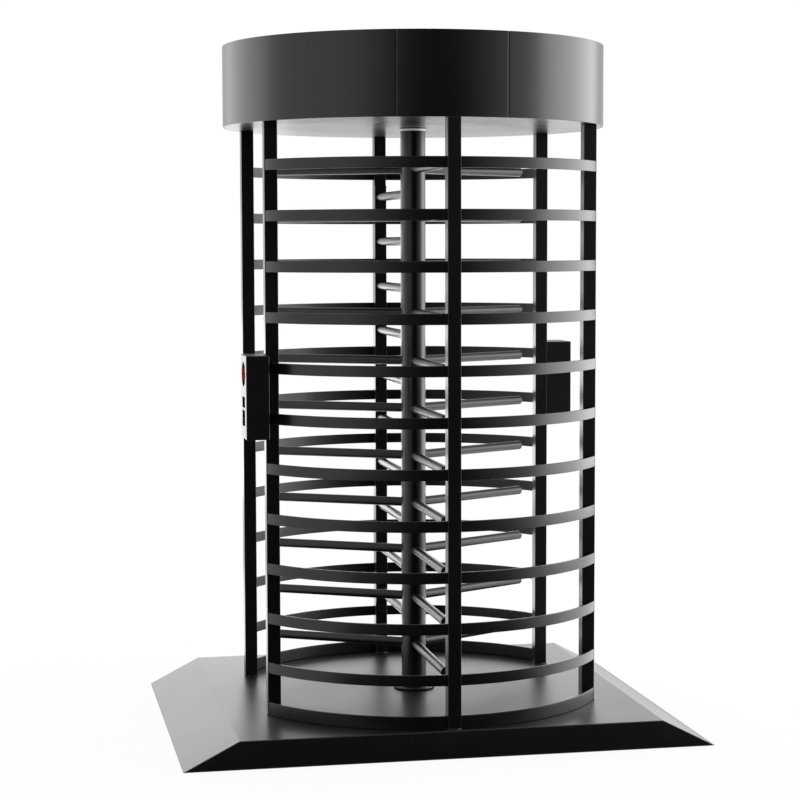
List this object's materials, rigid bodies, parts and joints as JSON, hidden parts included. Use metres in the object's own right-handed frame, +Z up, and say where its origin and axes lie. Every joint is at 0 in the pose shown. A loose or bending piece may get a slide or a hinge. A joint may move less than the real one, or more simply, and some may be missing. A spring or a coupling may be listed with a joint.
{
  "type": "full height turnstile",
  "caption": "Round full height security turnstile: a caged rotor of tube arms on a ramped platform, under a drum canopy, with a reader on each walking side.",
  "frame": {"origin": "on the floor, on the rotor's axis, which is the centre of the part's box", "axes": "+Z up along the rotor's axis; -Y is the front that the picture shows; people walk through along X, in at -X"},
  "size_m": [1.8, 1.38, 2.383],
  "materials": {
    "frame_paint": "semi gloss black",
    "rotor_paint": "semi gloss black",
    "canopy_paint": "satin black",
    "soffit_paint": "satin black",
    "platform_paint": "satin black",
    "reader_case": "satin black",
    "display_glass": "gloss black",
    "bare_steel": "machined",
    "zinc_plate": "zinc plated"
  },
  "bodies": {
    "cage": {"rail_front_01": "frame_paint", "rail_front_02": "frame_paint", "rail_front_03": "frame_paint", "rail_front_04": "frame_paint", "rail_front_05": "frame_paint", "rail_front_06": "frame_paint", "rail_front_07": "frame_paint", "rail_front_08": "frame_paint", "rail_front_09": "frame_paint", "rail_front_10": "frame_paint", "rail_front_11": "frame_paint", "rail_rear_01": "frame_paint", "rail_rear_02": "frame_paint", "rail_rear_03": "frame_paint", "rail_rear_04": "frame_paint", "rail_rear_05": "frame_paint", "rail_rear_06": "frame_paint", "rail_rear_07": "frame_paint", "rail_rear_08": "frame_paint", "rail_rear_09": "frame_paint", "rail_rear_10": "frame_paint", "rail_rear_11": "frame_paint", "foot_ring_front": "frame_paint", "foot_ring_rear": "frame_paint", "post_front_left": "frame_paint", "post_front_right": "frame_paint", "post_rear_left": "frame_paint", "post_rear_right": "frame_paint", "post_front_centre": "frame_paint", "post_rear_centre": "frame_paint", "comb_barrier": "frame_paint", "floor_bearing": "frame_paint", "fascia_left": "canopy_paint", "fascia_right": "canopy_paint", "fascia_front": "canopy_paint", "fascia_rear": "canopy_paint", "top_cover": "canopy_paint", "control_box": "canopy_paint", "soffit_left": "soffit_paint", "soffit_right": "soffit_paint", "soffit_centre": "soffit_paint", "platform": "platform_paint", "reader_housing_entry": "reader_case", "reader_display_entry": "display_glass", "solenoid_entry": "zinc_plate", "reader_housing_exit": "reader_case", "reader_display_exit": "display_glass", "solenoid_exit": "zinc_plate", "top_bearing": "bare_steel", "head_frame": "zinc_plate", "mechanism_plate": "zinc_plate"},
    "rotor": {"rotor_shaft": "rotor_paint", "rotor_wing_front": "rotor_paint", "rotor_wing_right": "rotor_paint", "rotor_wing_left": "rotor_paint", "index_disc": "bare_steel"},
    "pawl_entry": {"lock_pawl_entry": "bare_steel"},
    "pawl_exit": {"lock_pawl_exit": "bare_steel"},
    "plunger_entry_body": {"plunger_entry": "bare_steel"},
    "plunger_exit_body": {"plunger_exit": "bare_steel"}
  },
  "joints": [
    {"name": "rotor_spin", "type": "hinge", "parent": "cage", "child": "rotor", "pos_m": [0, 0, 0.095], "axis": [0, 0, 1], "continuous": true},
    {"name": "pawl_exit_swing", "type": "hinge", "parent": "cage", "child": "pawl_exit", "pos_m": [0.165, -0.072, 2.218], "axis": [0, 0, 1], "range_deg": [0, 12], "stiffness_Nm_per_rad": 0.4},
    {"name": "pawl_entry_swing", "type": "hinge", "parent": "cage", "child": "pawl_entry", "pos_m": [-0.165, 0.072, 2.218], "axis": [0, 0, 1], "range_deg": [0, 12], "stiffness_Nm_per_rad": 0.4},
    {"name": "plunger_exit_slide", "type": "slide", "parent": "cage", "child": "plunger_exit_body", "axis": [1, 0, 0], "range_m": [0, 0.0106]},
    {"name": "plunger_entry_slide", "type": "slide", "parent": "cage", "child": "plunger_entry_body", "axis": [-1, 0, 0], "range_m": [0, 0.0106]}
  ],
  "couplings": [
    {"joint": "plunger_exit_slide", "follows": "pawl_exit_swing", "m_per_rad": 0.05},
    {"joint": "plunger_entry_slide", "follows": "pawl_entry_swing", "m_per_rad": 0.05}
  ]
}
